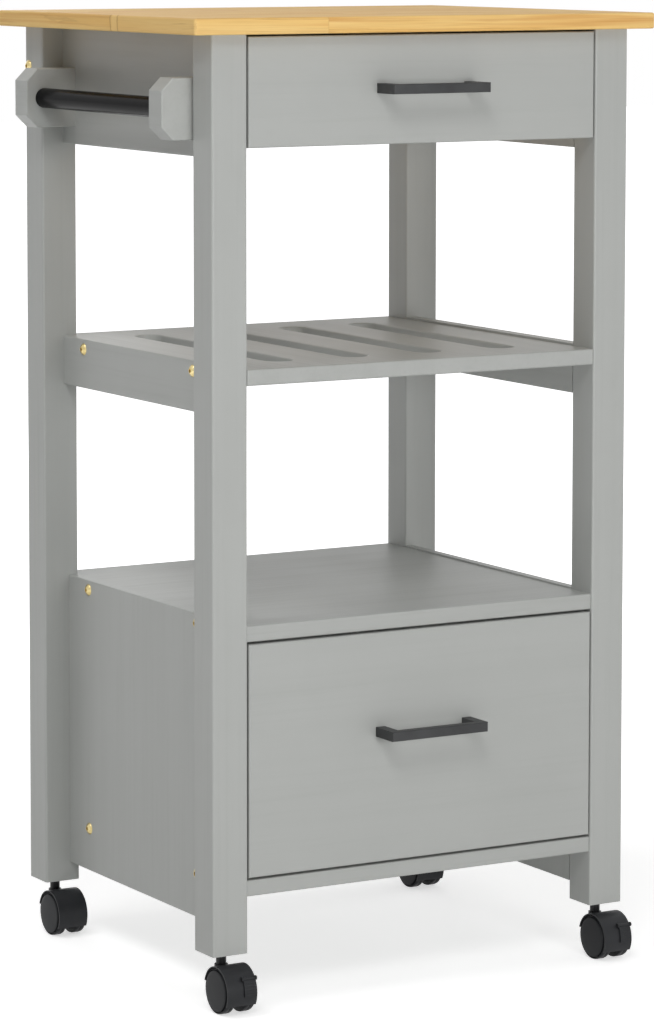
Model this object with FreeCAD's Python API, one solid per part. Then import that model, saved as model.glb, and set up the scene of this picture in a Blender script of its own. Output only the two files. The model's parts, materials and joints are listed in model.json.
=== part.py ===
import FreeCAD, Part
import math
import os

# Kitchen island cart. Millimetres, +Z up, front towards -Y, +X to the right of the front.
# The cart is laid out about the middle of the worktop, with the floor at z = 0, and shifted
# at the end so that the origin is the middle of the whole footprint, on the floor.

# Worktop
TOP_W = 490.0
TOP_D = 400.0
TOP_H = 900.0
TOP_T = 15.0
TOP_OVERHANG_X = 23.0
TOP_OVERHANG_Y = 12.0
TOP_CORNER_R = 3.0
TOP_EDGE_R = 2.0

# Frame: posts, aprons and rails
POST = 36.0
POST_ABOVE_HOOD = 8.4
POST_EDGE_R = 2.0
APRON_T = 14.0
APRON_LIP = 10.5
BACK_APRON_T = 15.0
RAIL_H = 47.0
RAIL_TOP = 587.0
BOARD_EDGE_R = 1.5

# Slotted shelf
SHELF_TOP = 585.0
SHELF_T = 15.0
SLOT_W = 28.0
SLOT_COUNT = 4
SLOT_SIDE_MARGIN = 52.0
SLOT_END_MARGIN = 48.0

# Cabinet
PANEL_T = 10.0
PANEL_BOTTOM = 69.5
PANEL_LIP = 1.5
CAB_TOP = 352.0
CAB_BOARD_T = 15.0
CAB_FLOOR_TOP = 118.5
CAB_SETBACK = 2.5
BACK_PANEL_T = 5.0
BACK_PANEL_INSET = 4.0

# Drawers
FRONT_T = 15.0
FRONT_GAP_SIDE = 1.5
FRONT_GAP_TOP = 2.0
FRONT_EDGE_R = 1.5
TOP_FRONT_H = 99.5
LOWER_FRONT_RAISE = 2.5
BOX_T = 12.0
BOX_GAP_SIDE = 2.0
BOX_GAP_BACK = 11.0
TOP_BOX_DROP = 11.0
LOWER_BOX_DROP = 8.0
DRAWER_BOTTOM_T = 4.0
DRAWER_BOTTOM_UP = 5.0
GROOVE = 5.0
SLIDE_GAP = 0.3
KEPT_IN = 95.0
STOP_GAP = 0.5
STOP_W = 60.0
STOP_D = 14.0
STOP_OVERLAP = 4.0
RUNNER_W = 16.0
RUNNER_H = 12.0
RUNNER_FRONT_GAP = 1.0

# Pulls
PULL_CENTRES = 93.0
PULL_LEG_W = 9.6
PULL_H = 9.0
PULL_REACH = 31.0
PULL_BAR_D = 8.0
PULL_EDGE_R = 1.0
TOP_PULL_DROP = 50.5
LOWER_PULL_DROP = 92.0
PULL_SCREW_D = 4.0
PULL_SCREW_INTO = 12.0
PULL_HEAD_D = 8.0
PULL_HEAD_T = 2.2

# Towel rail
BRACKET_REACH = 52.0
BRACKET_W = 25.0
BRACKET_H = 56.0
BRACKET_CUT = 11.5
BRACKET_TO_POST = 2.5
BRACKET_EDGE_R = 1.2
ROD_D = 19.0
ROD_DROP = 67.0
ROD_FROM_FACE = 19.0
ROD_IN = 15.0

# How far a cut runs past the face it goes through, and how near two positions count as one
PAST = 1.0
TINY = 0.001
ALMOST = 0.999

# Fasteners
DOWEL_D = 8.0
DOWEL_SLIM_D = 6.0
DOWEL_IN = 14.0
APRON_DOWEL_INSET = 15.0
RAIL_DOWEL_INSET = 12.0
PANEL_DOWEL_INSET = 20.0
TOP_DOWEL_POST = 20.0
TOP_DOWEL_TOP = 10.0
BRASS_HEAD_D = 11.5
BRASS_HEAD_T = 3.2
BRASS_SHANK_D = 5.0
BRASS_INTO = 30.0
BRASS_IN_APRON = 25.0
BRASS_FROM_POST = 42.0
BACK_BOLT_DROP = 38.5
BACK_BOLT_PITCH = 40.0
BACK_BOLT_COUNT = 2
WOOD_SCREW_D = 4.0
WOOD_SCREW_HEAD_D = 8.0
BRACKET_SCREW_PITCH = 32.0
BRACKET_SCREW_INTO = 22.0
RUNNER_SCREW_INTO = 10.0
RUNNER_SCREW_PITCH = 120.0

# Casters
WHEEL_R = 21.0
CASTER_W = 32.0
CASTER_TRAIL = 18.0
FIN_T = 11.0
WHEEL_SIDE_GAP = 0.35
WHEEL_EDGE_R = 2.0
WHEEL_HUB_R = 6.0
WHEEL_RIM_T = 4.0
WHEEL_RECESS = 6.0
WHEEL_CAP_T = 1.7
AXLE_D = 5.0
RUNNING_GAP = 0.05
HOOD_GAP = 0.5
HOOD_T = 1.1
HOOD_SIDE_IN = 0.8
HOOD_FRONT_DEG = -30.0
HOOD_BACK_DEG = 165.0
FIN_LOW_R = 14.0
STEM_PIN_D = 6.0
STEM_PIN_L = 17.0
STEM_COLLAR_D = 9.5
STEM_THREAD_D = 8.0
BOSS_D = 12.4
BOSS_BELOW_HOOD = 2.6
BOSS_FLOOR_T = 2.0
SOCKET_D = 12.0
SOCKET_L = 26.0

# Brake lever on the front casters
LEVER_X0 = 1.6
LEVER_X1 = 13.4
LEVER_T = 1.5
LEVER_GAP = 0.3
LEVER_LOW_DEG = -6.0
LEVER_PIVOT_DEG = 34.0
LEVER_KNUCKLE_R = 1.5
LEVER_PIN_R = 0.8
LEVER_PIN_L = 1.2
EAR_R = 1.8
EAR_T = 1.5
EAR_GAP = 0.2

# Values that follow from the sizes above
post_x = TOP_W / 2 - TOP_OVERHANG_X
post_y = TOP_D / 2 - TOP_OVERHANG_Y
in_x = post_x - POST
in_y = post_y - POST
under_top = TOP_H - TOP_T
apron_out = in_x + APRON_T
rail_low = RAIL_TOP - RAIL_H
shelf_low = SHELF_TOP - SHELF_T
panel_out = in_x + PANEL_T
panel_top = CAB_TOP + PANEL_LIP
cab_top_low = CAB_TOP - CAB_BOARD_T
cab_floor_low = CAB_FLOOR_TOP - CAB_BOARD_T
front_back = -post_y + FRONT_T
box_x = in_x - BOX_GAP_SIDE
box_back = post_y - BACK_APRON_T - BOX_GAP_BACK
travel = box_back - front_back - KEPT_IN
top_front_z1 = under_top - FRONT_GAP_TOP
top_front_z0 = top_front_z1 - TOP_FRONT_H
apron_low = top_front_z0 - APRON_LIP
runner_top = top_front_z0 + RUNNER_H + 2 * SLIDE_GAP
lower_front_z0 = CAB_FLOOR_TOP + LOWER_FRONT_RAISE
lower_front_z1 = cab_top_low - FRONT_GAP_TOP
top_pull_z = under_top - TOP_PULL_DROP
lower_pull_z = lower_front_z1 - LOWER_PULL_DROP
rod_z = under_top - ROD_DROP
bracket_y = in_y - BRACKET_TO_POST - BRACKET_W / 2
bracket_x = apron_out + BRACKET_REACH
rod_x = bracket_x - ROD_FROM_FACE
screw_y = in_y - BRASS_FROM_POST
post_mid_x = post_x - POST / 2
post_mid_y = post_y - POST / 2
hood_r0 = WHEEL_R + HOOD_GAP
hood_r1 = hood_r0 + HOOD_T
hood_top = WHEEL_R + hood_r1
post_bottom = hood_top + POST_ABOVE_HOOD
boss_top = hood_top - BOSS_BELOW_HOOD
SIDES = (("left", -1), ("right", 1))
CORNERS = (
    ("front_left", -1, -1),
    ("front_right", 1, -1),
    ("back_left", -1, 1),
    ("back_right", 1, 1),
)

# The origin is the middle of the footprint: the brackets reach out on the left only, and
# the pulls in front only
footprint_x = (TOP_W / 2 - bracket_x) / 2
footprint_y = (TOP_D / 2 - post_y - PULL_REACH) / 2
to_origin = FreeCAD.Vector(-footprint_x, -footprint_y, 0)

made = {}


def vec(x, y, z):
    return FreeCAD.Vector(x, y, z)


def keep(node, shape):
    made[node] = made[node] + [shape] if node in made else [shape]


def block(x0, x1, y0, y1, z0, z1):
    low = vec(min(x0, x1), min(y0, y1), min(z0, z1))
    return Part.makeBox(abs(x1 - x0), abs(y1 - y0), abs(z1 - z0), low)


def rod(diameter, start, end):
    line = end.sub(start)
    return Part.makeCylinder(diameter / 2, line.Length, start, line)


def along(edge, axis):
    line = edge.Vertexes[-1].Point.sub(edge.Vertexes[0].Point)
    return line.Length > 0 and abs(getattr(line, axis)) > ALMOST * line.Length


def soften(shape, radius, test):
    return shape.makeFillet(radius, [edge for edge in shape.Edges if test(edge)])


def front_edges(y):
    return lambda edge: all(abs(v.Point.y - y) < TINY for v in edge.Vertexes)


def worktop():
    board = block(-TOP_W / 2, TOP_W / 2, -TOP_D / 2, TOP_D / 2, under_top, TOP_H)
    board = soften(board, TOP_CORNER_R, lambda e: along(e, "z"))
    flat = [e for e in board.Edges if abs(e.Vertexes[0].Point.z - e.Vertexes[-1].Point.z) < TINY]
    return board.makeFillet(TOP_EDGE_R, flat)


def post(sx, sy):
    body = block(sx * in_x, sx * post_x, sy * in_y, sy * post_y, post_bottom, under_top)
    return soften(body, POST_EDGE_R, lambda e: along(e, "z"))


def side_board(sx, thick, z0, z1):
    board = block(sx * in_x, sx * (in_x + thick), -in_y, in_y, z0, z1)
    outer = sx * (in_x + thick)
    return soften(board, BOARD_EDGE_R, lambda e: along(e, "y") and
                  abs(e.Vertexes[0].Point.x - outer) < TINY)


def slot_centres():
    half = in_x - SLOT_SIDE_MARGIN - SLOT_W / 2
    pitch = 2 * half / (SLOT_COUNT - 1)
    return [-half + pitch * i for i in range(SLOT_COUNT)]


def shelf():
    board = block(-in_x, in_x, -post_y, post_y, shelf_low, SHELF_TOP)
    board = soften(board, BOARD_EDGE_R, lambda e: along(e, "x"))
    reach = post_y - SLOT_END_MARGIN - SLOT_W / 2
    cut_low = shelf_low - PAST
    cut_high = SHELF_TOP + PAST
    for x in slot_centres():
        slot = block(x - SLOT_W / 2, x + SLOT_W / 2, -reach, reach, cut_low, cut_high)
        for y in (-reach, reach):
            slot = slot.fuse(rod(SLOT_W, vec(x, y, cut_low), vec(x, y, cut_high)))
        board = board.cut(slot)
    return board.removeSplitter()


def cabinet_board(z0):
    board = block(-in_x, in_x, -post_y + CAB_SETBACK, post_y - CAB_SETBACK, z0, z0 + CAB_BOARD_T)
    return soften(board, BOARD_EDGE_R, lambda e: along(e, "x"))


def bracket(sy):
    z0 = rod_z - BRACKET_H / 2
    z1 = rod_z + BRACKET_H / 2
    cut = BRACKET_CUT
    x0 = -apron_out
    x1 = -bracket_x
    low = [(x0, z0), (x1 + cut, z0), (x1, z0 + cut)]
    high = [(x1, z1 - cut), (x1 + cut, z1), (x0, z1)]
    y0 = sy * bracket_y - BRACKET_W / 2
    face = Part.Face(Part.makePolygon([vec(x, y0, z) for x, z in low + high + low[:1]]))
    body = face.extrude(vec(0, BRACKET_W, 0))
    body = soften(body, BRACKET_EDGE_R, lambda e: not along(e, "y") and
                  min(v.Point.x for v in e.Vertexes) < x0 - TINY)
    return body.cut(towel_rod())


def towel_rod():
    end = bracket_y - BRACKET_W / 2 + ROD_IN
    return rod(ROD_D, vec(-rod_x, -end, rod_z), vec(-rod_x, end, rod_z))


def drawer_front(z0, z1, pull_z):
    half = in_x - FRONT_GAP_SIDE
    body = block(-half, half, -post_y, front_back, z0, z1)
    body = soften(body, FRONT_EDGE_R, front_edges(-post_y))
    for sx in (-1, 1):
        x = sx * PULL_CENTRES / 2
        hole = rod(PULL_SCREW_D, vec(x, -post_y - PAST, pull_z), vec(x, front_back + PAST, pull_z))
        body = body.cut(hole)
    return body


def pull(z):
    x1 = PULL_CENTRES / 2 + PULL_LEG_W / 2
    body = block(-x1, x1, -post_y - PULL_REACH, -post_y, z - PULL_H / 2, z + PULL_H / 2)
    body = soften(body, PULL_EDGE_R, lambda e: all(v.Point.y < -post_y - PAST for v in e.Vertexes))
    gap_x = x1 - PULL_LEG_W
    bar_back = -post_y - PULL_REACH + PULL_BAR_D
    body = body.cut(block(-gap_x, gap_x, bar_back, -post_y + PAST, z - PULL_H, z + PULL_H))
    for sx in (-1, 1):
        x = sx * PULL_CENTRES / 2
        hole = rod(PULL_SCREW_D, vec(x, -post_y - PULL_SCREW_INTO, z), vec(x, -post_y + PAST, z))
        body = body.cut(hole)
    return body


def pull_screw(sx, z):
    x = sx * PULL_CENTRES / 2
    shank = rod(PULL_SCREW_D, vec(x, -post_y - PULL_SCREW_INTO, z), vec(x, front_back, z))
    head = rod(PULL_HEAD_D, vec(x, front_back, z), vec(x, front_back + PULL_HEAD_T, z))
    return shank.fuse(head).removeSplitter()


def drawer_box(name, z0, z1):
    floor_z = z0 + DRAWER_BOTTOM_UP
    floor_x = box_x - BOX_T + GROOVE
    floor = block(-floor_x, floor_x, front_back - GROOVE, box_back, floor_z, floor_z + DRAWER_BOTTOM_T)
    keep(name + "_bottom", floor)
    for side, sx in SIDES:
        wall = block(sx * (box_x - BOX_T), sx * box_x, front_back, box_back, z0, z1)
        wall = soften(wall, BOARD_EDGE_R, lambda e: along(e, "y") and e.Vertexes[0].Point.z > z1 - TINY)
        keep(name + "_side_" + side, wall.cut(floor))
    inner = box_x - BOX_T
    back_low = floor_z + DRAWER_BOTTOM_T
    keep(name + "_back", block(-inner, inner, box_back - BOX_T, box_back, back_low, z1))
    return floor


def drawer(name, front_z0, front_z1, box_z0, box_drop, pull_z):
    floor = drawer_box(name, box_z0, front_z1 - box_drop)
    keep(name + "_front", drawer_front(front_z0, front_z1, pull_z).cut(floor))
    keep(name + "_pull", pull(pull_z))
    for sx in (-1, 1):
        keep(name + "_pull_screws", pull_screw(sx, pull_z))


def stop_block(ceiling, back_top):
    y1 = box_back - BOX_T - travel - STOP_GAP
    return block(-STOP_W / 2, STOP_W / 2, y1 - STOP_D, y1, back_top - STOP_OVERLAP, ceiling)


def dowels():
    pins = []
    for sx in (-1, 1):
        for sy in (-1, 1):
            def end_pin(x, z, diameter):
                start = vec(sx * x, sy * (in_y - DOWEL_IN), z)
                pins.append(rod(diameter, start, vec(sx * x, sy * (in_y + DOWEL_IN), z)))
            for z in (apron_low + APRON_DOWEL_INSET, under_top - APRON_DOWEL_INSET):
                end_pin(in_x + APRON_T / 2, z, DOWEL_D)
            for z in (rail_low + RAIL_DOWEL_INSET, RAIL_TOP - RAIL_DOWEL_INSET):
                end_pin(in_x + APRON_T / 2, z, DOWEL_D)
            panel_mid = (PANEL_BOTTOM + panel_top) / 2
            for z in (PANEL_BOTTOM + PANEL_DOWEL_INSET, panel_mid, panel_top - PANEL_DOWEL_INSET):
                end_pin(in_x + PANEL_T / 2, z, DOWEL_SLIM_D)
            x = sx * post_mid_x
            y = sy * post_mid_y
            start = vec(x, y, under_top - TOP_DOWEL_POST)
            pins.append(rod(DOWEL_D, start, vec(x, y, under_top + TOP_DOWEL_TOP)))
    return pins


def brass_screw(sx, face_x, y, z, length):
    start = vec(sx * face_x, y, z)
    shank = rod(BRASS_SHANK_D, start, vec(sx * (face_x - length), y, z))
    ball_r = (BRASS_HEAD_D ** 2 / 4 + BRASS_HEAD_T ** 2) / (2 * BRASS_HEAD_T)
    ball = Part.makeSphere(ball_r, vec(sx * (face_x + BRASS_HEAD_T - ball_r), y, z))
    half = BRASS_HEAD_D
    cap = ball.common(block(sx * face_x, sx * (face_x + half), y - half, y + half, z - half, z + half))
    return shank.fuse(cap).removeSplitter()


def brass_screws():
    screws = []
    for sx in (-1, 1):
        for y in (-screw_y, screw_y):
            shelf_mid = (SHELF_TOP + shelf_low) / 2
            screws.append(brass_screw(sx, apron_out, y, shelf_mid, APRON_T + BRASS_INTO))
            for z in (CAB_TOP - CAB_BOARD_T / 2, CAB_FLOOR_TOP - CAB_BOARD_T / 2):
                screws.append(brass_screw(sx, panel_out, y, z, PANEL_T + BRASS_INTO))
        for i in range(BACK_BOLT_COUNT):
            z = under_top - BACK_BOLT_DROP - i * BACK_BOLT_PITCH
            screws.append(brass_screw(sx, post_x, post_y - BACK_APRON_T / 2, z, POST + BRASS_IN_APRON))
    return screws


def flat_head_screw(start, direction, length):
    head_depth = (WOOD_SCREW_HEAD_D - WOOD_SCREW_D) / 2
    shank = Part.makeCylinder(WOOD_SCREW_D / 2, length, start, direction)
    head = Part.makeCone(WOOD_SCREW_HEAD_D / 2, WOOD_SCREW_D / 2, head_depth, start, direction)
    return shank.fuse(head).removeSplitter()


def flat_head_screws():
    screws = []
    for y in (-bracket_y, bracket_y):
        for z in (rod_z - BRACKET_SCREW_PITCH / 2, rod_z + BRACKET_SCREW_PITCH / 2):
            length = APRON_T + BRACKET_SCREW_INTO
            screws.append(flat_head_screw(vec(-in_x, y, z), vec(-1, 0, 0), length))
    for sx in (-1, 1):
        for i in (-1, 0, 1):
            start = vec(sx * (in_x - RUNNER_W), i * RUNNER_SCREW_PITCH, runner_top - RUNNER_H / 2)
            screws.append(flat_head_screw(start, vec(sx, 0, 0), RUNNER_W + RUNNER_SCREW_INTO))
    return screws


def stem():
    low = boss_top + SLIDE_GAP
    pin = rod(STEM_PIN_D, vec(0, 0, low - STEM_PIN_L), vec(0, 0, low))
    collar = rod(STEM_COLLAR_D, vec(0, 0, low), vec(0, 0, post_bottom))
    thread = rod(STEM_THREAD_D, vec(0, 0, post_bottom), vec(0, 0, post_bottom + SOCKET_L))
    return pin.fuse(collar).fuse(thread).removeSplitter()


def socket():
    outer = rod(SOCKET_D, vec(0, 0, post_bottom), vec(0, 0, post_bottom + SOCKET_L))
    return outer.cut(rod(STEM_THREAD_D, vec(0, 0, post_bottom), vec(0, 0, post_bottom + SOCKET_L)))


def wheel_axis_point(radius, degrees):
    angle = math.radians(degrees)
    return -CASTER_TRAIL - radius * math.cos(angle), WHEEL_R + radius * math.sin(angle)


def sector(radius, from_deg, to_deg, x0, x1):
    # A pie piece about the wheel axis, turned from the front (0 degrees) over the top (90)
    def at(degrees):
        y, z = wheel_axis_point(radius, degrees)
        return vec(x0, y, z)
    middle = vec(x0, -CASTER_TRAIL, WHEEL_R)
    arc = Part.Arc(at(from_deg), at((from_deg + to_deg) / 2), at(to_deg)).toShape()
    wire = Part.Wire([Part.makeLine(middle, at(from_deg)), arc, Part.makeLine(at(to_deg), middle)])
    return Part.Face(wire).extrude(vec(x1 - x0, 0, 0))


def wheel_cylinder(radius, x0, x1):
    return rod(2 * radius, vec(x0, -CASTER_TRAIL, WHEEL_R), vec(x1, -CASTER_TRAIL, WHEEL_R))


def pivot_cylinder(radius, x0, x1):
    y, z = wheel_axis_point(hood_r1 + LEVER_GAP + LEVER_KNUCKLE_R, LEVER_PIVOT_DEG)
    return rod(2 * radius, vec(x0, y, z), vec(x1, y, z))


def hood(with_ears):
    half = CASTER_W / 2 - HOOD_SIDE_IN
    shell = sector(hood_r1, HOOD_FRONT_DEG, HOOD_BACK_DEG, -half, half)
    shell = shell.cut(wheel_cylinder(hood_r0, -half - PAST, half + PAST))
    fin = sector(hood_r1, HOOD_FRONT_DEG, HOOD_BACK_DEG, -FIN_T / 2, FIN_T / 2)
    fin = fin.fuse(wheel_cylinder(FIN_LOW_R, -FIN_T / 2, FIN_T / 2))
    boss_low = boss_top - STEM_PIN_L - BOSS_FLOOR_T
    boss = rod(BOSS_D, vec(0, 0, boss_low), vec(0, 0, boss_top))
    waist = boss.common(block(-FIN_T / 2, FIN_T / 2, -BOSS_D, BOSS_D, boss_low, boss_top))
    crown = boss.cut(wheel_cylinder(hood_r0, -half, half))
    body = shell.fuse([fin, waist, crown])
    if with_ears:
        for x0 in (LEVER_X0 - EAR_GAP - EAR_T, LEVER_X1 + EAR_GAP):
            ear = pivot_cylinder(EAR_R + LEVER_GAP, x0, x0 + EAR_T)
            body = body.fuse(ear.cut(wheel_cylinder(hood_r0, x0 - PAST, x0 + EAR_T + PAST)))
        pin_x0 = LEVER_X0 - LEVER_PIN_L - EAR_GAP
        pin_x1 = LEVER_X1 + LEVER_PIN_L + EAR_GAP
        body = body.cut(pivot_cylinder(LEVER_PIN_R + RUNNING_GAP, pin_x0, pin_x1))
    body = body.cut(wheel_cylinder(AXLE_D / 2, -half, half))
    bore_r = STEM_PIN_D / 2 + RUNNING_GAP
    bore_low = boss_top - STEM_PIN_L
    body = body.cut(Part.makeCylinder(bore_r, STEM_PIN_L + PAST, vec(0, 0, bore_low)))
    return body.removeSplitter()


def axle():
    end = CASTER_W / 2 - WHEEL_CAP_T - WHEEL_SIDE_GAP
    return wheel_cylinder(AXLE_D / 2, -end, end)


def wheel(sx):
    inner = FIN_T / 2 + WHEEL_SIDE_GAP
    outer = CASTER_W / 2
    body = wheel_cylinder(WHEEL_R, sx * inner, sx * outer)
    body = soften(body, WHEEL_EDGE_R, lambda e: e.Length > WHEEL_R and
                  abs(e.Vertexes[0].Point.x - sx * outer) < TINY)
    recess = wheel_cylinder(WHEEL_R - WHEEL_RIM_T, sx * inner, sx * (inner + WHEEL_RECESS))
    recess = recess.cut(wheel_cylinder(WHEEL_HUB_R, sx * inner, sx * (inner + WHEEL_RECESS)))
    bore_r = AXLE_D / 2 + RUNNING_GAP
    bore = wheel_cylinder(bore_r, sx * (inner - PAST), sx * (outer - WHEEL_CAP_T))
    return body.cut(recess).cut(bore)


def brake_lever():
    r0 = hood_r1 + LEVER_GAP
    plate = sector(r0 + LEVER_T, LEVER_LOW_DEG, LEVER_PIVOT_DEG, LEVER_X0, LEVER_X1)
    plate = plate.cut(wheel_cylinder(r0, LEVER_X0 - PAST, LEVER_X1 + PAST))
    knuckle = pivot_cylinder(LEVER_KNUCKLE_R, LEVER_X0, LEVER_X1)
    pin = pivot_cylinder(LEVER_PIN_R, LEVER_X0 - LEVER_PIN_L, LEVER_X1 + LEVER_PIN_L)
    return plate.fuse([knuckle, pin]).removeSplitter()


def build_frame():
    for corner, sx, sy in CORNERS:
        keep("post_" + corner, post(sx, sy))
    keep("worktop", worktop())
    for side, sx in SIDES:
        keep("apron_" + side, side_board(sx, APRON_T, apron_low, under_top))
        keep("shelf_rail_" + side, side_board(sx, APRON_T, rail_low, RAIL_TOP))
        keep("cabinet_side_" + side, side_board(sx, PANEL_T, PANEL_BOTTOM, panel_top))
        runner_x = sx * (in_x - RUNNER_W)
        runner_low = runner_top - RUNNER_H
        runner_y = (front_back + RUNNER_FRONT_GAP, post_y - BACK_APRON_T)
        keep("drawer_runners", block(runner_x, sx * in_x, *runner_y, runner_low, runner_top))
    keep("apron_back", block(-in_x, in_x, post_y - BACK_APRON_T, post_y, apron_low, under_top))
    keep("slotted_shelf", shelf())
    keep("cabinet_top", cabinet_board(cab_top_low))
    keep("cabinet_floor", cabinet_board(cab_floor_low))
    back_y = post_y - BACK_PANEL_INSET
    keep("cabinet_back", block(-in_x, in_x, back_y - BACK_PANEL_T, back_y, CAB_FLOOR_TOP, cab_top_low))
    keep("towel_bracket_front", bracket(-1))
    keep("towel_bracket_back", bracket(1))
    keep("towel_rod", towel_rod())


def build_drawers():
    top_box_z0 = runner_top + SLIDE_GAP
    lower_box_z0 = CAB_FLOOR_TOP + SLIDE_GAP
    drawer("top_drawer", top_front_z0, top_front_z1, top_box_z0, TOP_BOX_DROP, top_pull_z)
    drawer("lower_drawer", lower_front_z0, lower_front_z1, lower_box_z0, LOWER_BOX_DROP, lower_pull_z)
    keep("drawer_stops", stop_block(under_top, top_front_z1 - TOP_BOX_DROP))
    keep("drawer_stops", stop_block(cab_top_low, lower_front_z1 - LOWER_BOX_DROP))


def build_casters():
    for corner, sx, sy in CORNERS:
        place = vec(sx * post_mid_x, sy * post_mid_y, 0)
        pieces = {"caster_hood_" + corner: hood(sy < 0), "caster_axle_" + corner: axle()}
        pieces["wheel_" + corner + "_outer"] = wheel(sx)
        pieces["wheel_" + corner + "_inner"] = wheel(-sx)
        if sy < 0:
            pieces["brake_lever_" + corner] = brake_lever()
        pieces["caster_stems"] = stem()
        pieces["stem_sockets"] = socket()
        for node, shape in pieces.items():
            keep(node, shape.translated(place))


def drill(node, tools):
    shapes = []
    for shape in made[node]:
        near = [tool for tool in tools if tool.BoundBox.intersect(shape.BoundBox)]
        shapes.append(shape.cut(near) if near else shape)
    made[node] = shapes


def drill_fasteners():
    # Each wooden piece gets the holes of the dowels, screws and sockets that enter it
    pins = dowels()
    brass = brass_screws()
    flat = flat_head_screws()
    posts = ["post_" + corner for corner, sx, sy in CORNERS]
    boards = [kind + side for kind in ("apron_", "shelf_rail_", "cabinet_side_") for side, sx in SIDES]
    for node in posts:
        drill(node, pins + brass + [s.copy() for s in made["stem_sockets"]])
    for node in boards + ["apron_back", "slotted_shelf", "cabinet_top", "cabinet_floor", "worktop"]:
        drill(node, pins + brass + flat)
    for node in ("towel_bracket_front", "towel_bracket_back", "drawer_runners"):
        drill(node, flat)
    for node, shapes in (("wood_dowels", pins), ("brass_screws", brass), ("flat_head_screws", flat)):
        for shape in shapes:
            keep(node, shape)
    for node in posts:
        made[node] = [shape.cut(made["caster_stems"]) for shape in made[node]]


def write_parts():
    os.makedirs("parts", exist_ok=True)
    for node, shapes in made.items():
        solids = [solid for shape in shapes for solid in shape.Solids]
        whole = solids[0] if len(solids) == 1 else Part.makeCompound(solids)
        whole.translated(to_origin).exportStep("parts/" + node + ".step")
        print(node, len(solids), "solids", all(solid.isValid() for solid in solids))
    print("drawer travel", travel, "origin shift", to_origin)


build_frame()
build_drawers()
build_casters()
drill_fasteners()
write_parts()
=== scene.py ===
import json
import math

import bmesh
import bpy
from mathutils import Matrix, Vector

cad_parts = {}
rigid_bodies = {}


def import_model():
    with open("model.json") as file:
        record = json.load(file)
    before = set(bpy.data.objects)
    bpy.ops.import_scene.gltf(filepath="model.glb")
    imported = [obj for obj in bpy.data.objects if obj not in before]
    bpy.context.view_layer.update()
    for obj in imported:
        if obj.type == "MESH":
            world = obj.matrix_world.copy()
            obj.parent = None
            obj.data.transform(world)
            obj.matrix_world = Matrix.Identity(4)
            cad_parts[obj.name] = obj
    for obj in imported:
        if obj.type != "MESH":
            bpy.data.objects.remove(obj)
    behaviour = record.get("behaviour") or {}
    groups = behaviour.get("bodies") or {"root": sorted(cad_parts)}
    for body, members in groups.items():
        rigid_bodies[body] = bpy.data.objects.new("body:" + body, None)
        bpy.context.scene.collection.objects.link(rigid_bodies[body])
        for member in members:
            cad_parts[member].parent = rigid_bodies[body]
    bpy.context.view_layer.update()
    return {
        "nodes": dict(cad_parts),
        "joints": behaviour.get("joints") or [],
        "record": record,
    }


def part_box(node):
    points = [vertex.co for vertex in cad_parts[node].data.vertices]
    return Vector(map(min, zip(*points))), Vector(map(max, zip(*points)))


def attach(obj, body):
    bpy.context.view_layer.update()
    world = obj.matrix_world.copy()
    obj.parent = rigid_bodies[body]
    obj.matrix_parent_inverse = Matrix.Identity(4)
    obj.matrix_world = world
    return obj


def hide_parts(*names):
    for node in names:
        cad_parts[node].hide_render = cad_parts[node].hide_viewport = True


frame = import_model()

nodes = frame["nodes"]
record = frame["record"]


# ---------------------------------------------------------------- Worktop
# One board of pine staves, glued edge to edge, each stave joined along its length with finger
# joints. It is planed, its edges are eased, and it is oiled to a warm satin. Dowels in the tops
# of the four posts hold it from below.

class Recipe:
    """A node tree, for a finish or a shape, that is put together one node at a time."""

    def __init__(self, tree):
        self.tree = tree

    def add(self, kind, sockets=None, **settings):
        node = self.tree.nodes.new(kind)
        for name, value in settings.items():
            setattr(node, name, value)
        for key, value in (sockets or {}).items():
            if isinstance(value, bpy.types.NodeSocket):
                self.tree.links.new(value, node.inputs[key])
            else:
                node.inputs[key].default_value = value
        return node


class Finish(Recipe):
    """A surface finish. Its patterns lie in the cart's own metres."""

    def __init__(self, name):
        self.material = bpy.data.materials.new(name)
        self.material.use_nodes = True
        super().__init__(self.material.node_tree)
        self.shader = self.tree.nodes["Principled BSDF"]
        self.place = self.add("ShaderNodeTexCoord").outputs["Object"]

    def maths(self, operation, *values):
        return self.add("ShaderNodeMath", dict(enumerate(values)), operation=operation).outputs[0]

    def scaled(self, scale, source=None):
        sockets = {"Vector": source or self.place, "Scale": scale}
        return self.add("ShaderNodeMapping", sockets).outputs[0]

    def noise(self, vector, detail=4.0, roughness=0.55, distortion=0.0):
        sockets = {"Vector": vector, "Scale": 1.0, "Detail": detail, "Roughness": roughness,
                   "Distortion": distortion}
        return self.add("ShaderNodeTexNoise", sockets).outputs[0]

    def span(self, value, low, high, to_low=0.0, to_high=1.0):
        sockets = {0: value, 1: low, 2: high, 3: to_low, 4: to_high}
        return self.add("ShaderNodeMapRange", sockets).outputs[0]

    def mixed(self, share, first, second, blend="MIX"):
        sockets = {0: share, 6: first, 7: second}
        return self.add("ShaderNodeMix", sockets, data_type="RGBA", blend_type=blend).outputs[2]

    def raised(self, height, depth, under=None):
        sockets = {"Height": height, "Distance": depth, "Strength": 1.0}
        if under:
            sockets["Normal"] = under
        return self.add("ShaderNodeBump", sockets).outputs[0]

    def wire(self, **sockets):
        for name, value in sockets.items():
            socket = self.shader.inputs[name.replace("_", " ")]
            if isinstance(value, bpy.types.NodeSocket):
                self.tree.links.new(value, socket)
            else:
                socket.default_value = value
        return self.material


def tint(red, green, blue):
    """A colour as it looks, 0 to 255 a channel, turned into the light that a shader works in."""
    return tuple(((c / 255 + 0.055) / 1.055) ** 2.4 for c in (red, green, blue)) + (1.0,)


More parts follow.
